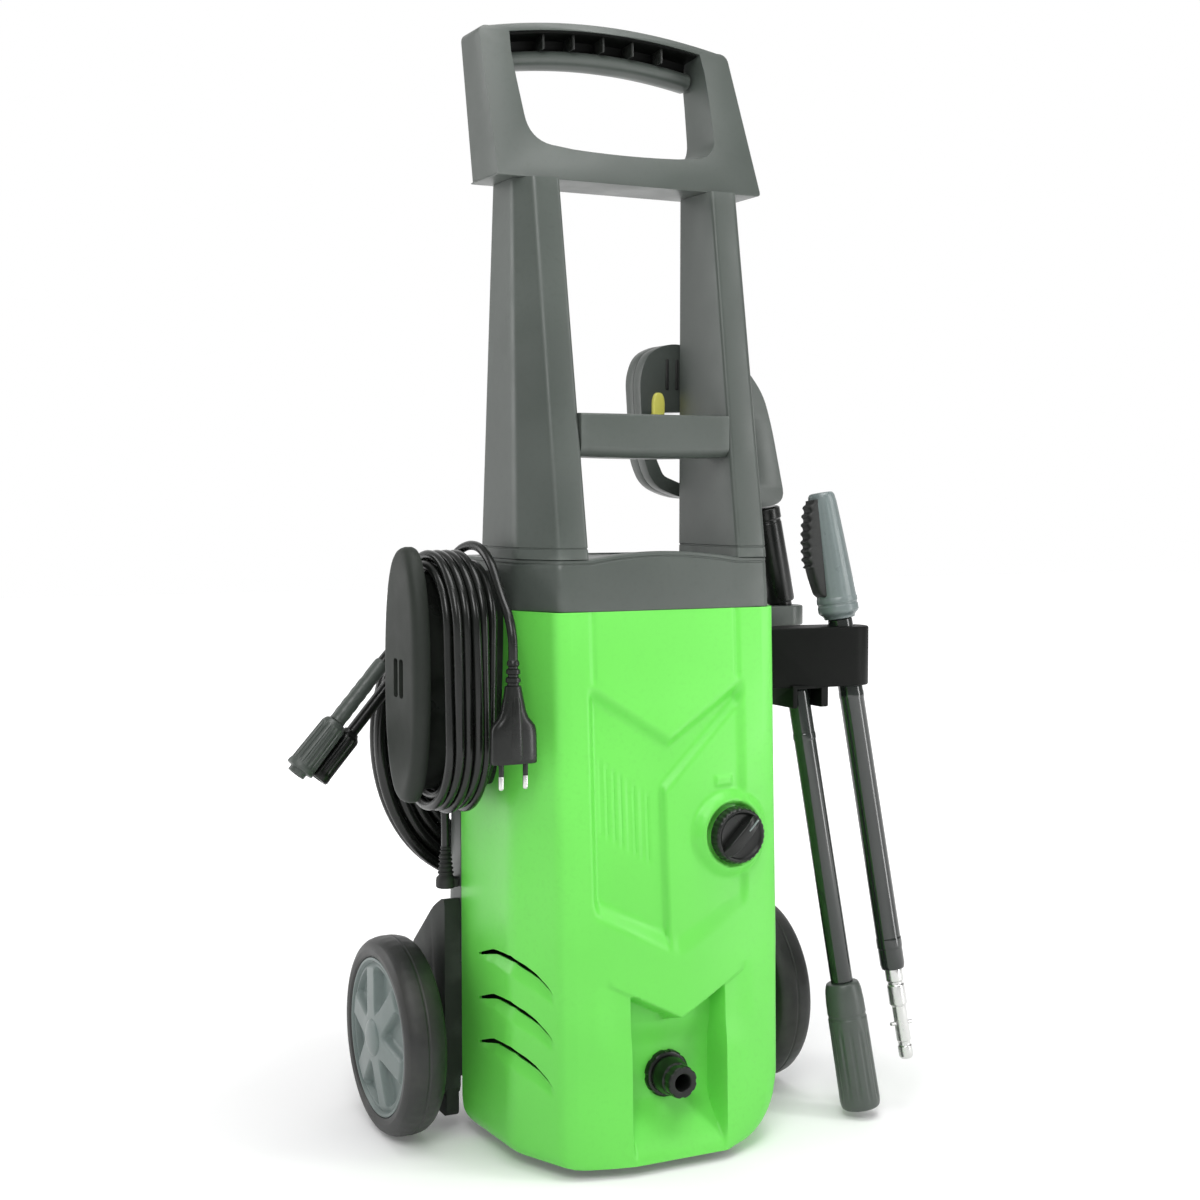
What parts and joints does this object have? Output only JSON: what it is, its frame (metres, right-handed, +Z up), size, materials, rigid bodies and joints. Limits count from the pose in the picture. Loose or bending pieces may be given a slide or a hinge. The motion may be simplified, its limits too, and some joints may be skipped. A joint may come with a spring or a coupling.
{
  "type": "pressure washer",
  "caption": "Upright electric pressure washer with moulded shells, handle tower, wheels, spray gun, lances, hose and wound power cord.",
  "frame": {"origin": "on the ground, on the underside of the front foot, in the machine's centre plane", "axes": "+Z up; the front, with the knob and the water inlet, faces -Y; +X is to the right of someone facing the front"},
  "size_m": [0.4873, 0.2585, 0.872],
  "materials": {
    "green_plastic": "satin moulded",
    "dark_grey_plastic": "fine grained",
    "black_plastic": "satin moulded",
    "black_rubber": "matt",
    "tyre_rubber": "matt",
    "cable_jacket": "satin",
    "rim_plastic": "satin moulded",
    "yellow_plastic": "satin moulded",
    "bright_steel": "polished",
    "motor_steel": "machined",
    "cast_aluminium": "cast",
    "brass": "machined"
  },
  "bodies": {
    "machine": {"front_shell": "green_plastic", "rear_shell": "dark_grey_plastic", "top_collar": "dark_grey_plastic", "upright_left": "dark_grey_plastic", "upright_right": "dark_grey_plastic", "crossbar": "dark_grey_plastic", "grip_frame": "dark_grey_plastic", "grip_bar": "black_rubber", "chassis": "dark_grey_plastic", "front_foot": "black_rubber", "axle": "motor_steel", "switch_box": "black_plastic", "inlet_collar": "black_plastic", "inlet_coupler": "black_plastic", "motor_stator": "motor_steel", "pump_housing": "cast_aluminium", "pump_head": "cast_aluminium", "unloader_valve": "brass", "capacitor": "rim_plastic", "outlet_fitting": "brass", "cable_hook_hub": "black_plastic", "cable_hook_plate": "dark_grey_plastic", "cable_gland": "black_rubber", "power_cord_coil": "cable_jacket", "power_cord_supply": "cable_jacket", "power_cord_tail": "cable_jacket", "plug_body": "black_plastic", "plug_pin_left": "bright_steel", "plug_pin_right": "bright_steel", "hose_hook": "dark_grey_plastic", "hose_coil": "cable_jacket", "hose_end_a": "cable_jacket", "hose_sleeve_a": "dark_grey_plastic", "hose_end_b": "cable_jacket", "lance_bracket": "black_plastic", "gun_holder": "dark_grey_plastic"},
    "wheel_left": {"tyre_left": "tyre_rubber", "rim_left": "rim_plastic", "hub_cap_left": "rim_plastic"},
    "wheel_right": {"tyre_right": "tyre_rubber", "rim_right": "rim_plastic", "hub_cap_right": "rim_plastic"},
    "knob": {"selector_knob": "black_plastic"},
    "rotor": {"motor_rotor": "motor_steel", "cooling_fan": "black_plastic", "wobble_plate": "motor_steel"},
    "piston_a": {"piston_1": "bright_steel"},
    "piston_b": {"piston_2": "bright_steel"},
    "piston_c": {"piston_3": "bright_steel"},
    "gun": {"gun_body": "dark_grey_plastic", "gun_barrel": "black_plastic"},
    "trigger": {"gun_trigger": "black_plastic"},
    "trigger_lock": {"gun_trigger_lock": "yellow_plastic"},
    "turbo_lance": {"turbo_lance_tube": "black_plastic", "turbo_nozzle": "dark_grey_plastic", "turbo_bayonet": "bright_steel"},
    "spray_lance": {"spray_lance_tube": "black_plastic", "spray_lance_sleeve": "black_plastic"},
    "hose_nut_long": {"hose_nut_a": "dark_grey_plastic"},
    "hose_nut_short": {"hose_nut_b": "black_plastic"}
  },
  "joints": [
    {"name": "wheel_left_spin", "type": "hinge", "parent": "machine", "child": "wheel_left", "pos_m": [-0.164, 0.1, 0.078], "axis": [1, 0, 0], "continuous": true},
    {"name": "wheel_right_spin", "type": "hinge", "parent": "machine", "child": "wheel_right", "pos_m": [0.164, 0.1, 0.078], "axis": [1, 0, 0], "continuous": true},
    {"name": "knob_turn", "type": "hinge", "parent": "machine", "child": "knob", "pos_m": [0.049, -0.0665, 0.248], "axis": [0, -1, 0], "range_deg": [-90, 0]},
    {"name": "motor_spin", "type": "hinge", "parent": "machine", "child": "rotor", "pos_m": [0, 0.03, 0.275], "axis": [0, 0, 1], "continuous": true},
    {"name": "piston_1_stroke", "type": "slide", "parent": "machine", "child": "piston_a", "axis": [0, 0, -1], "range_m": [0, 0.008], "stiffness_N_per_m": 800},
    {"name": "piston_2_stroke", "type": "slide", "parent": "machine", "child": "piston_b", "axis": [0, 0, -1], "range_m": [0, 0.008], "stiffness_N_per_m": 800},
    {"name": "piston_3_stroke", "type": "slide", "parent": "machine", "child": "piston_c", "axis": [0, 0, -1], "range_m": [0, 0.008], "stiffness_N_per_m": 800},
    {"name": "gun_lift", "type": "slide", "parent": "machine", "child": "gun", "axis": [-0.203, 0, 0.9792], "range_m": [0, 0.06]},
    {"name": "trigger_pull", "type": "hinge", "parent": "gun", "child": "trigger", "pos_m": [0.128, 0.08, 0.565], "axis": [0, 1, 0], "range_deg": [0, 9], "stiffness_Nm_per_rad": 1.5, "springref_deg": -6.88},
    {"name": "trigger_lock_turn", "type": "hinge", "parent": "gun", "child": "trigger_lock", "pos_m": [0.0535, 0.08, 0.5725], "axis": [0, 1, 0], "range_deg": [-18, 0]},
    {"name": "turbo_lance_lift", "type": "slide", "parent": "machine", "child": "turbo_lance", "axis": [-0.1235, 0.0965, 0.9876], "range_m": [0, 0.28]},
    {"name": "spray_lance_pull", "type": "slide", "parent": "machine", "child": "spray_lance", "axis": [0, -1, 0], "range_m": [0, 0.06]},
    {"name": "hose_nut_long_spin", "type": "hinge", "parent": "machine", "child": "hose_nut_long", "pos_m": [-0.243, 0.1, 0.291], "axis": [-0.65, 0, -0.76], "continuous": true},
    {"name": "hose_nut_short_spin", "type": "hinge", "parent": "machine", "child": "hose_nut_short", "pos_m": [-0.223, 0.112, 0.285], "axis": [-0.65, 0, -0.76], "continuous": true}
  ]
}
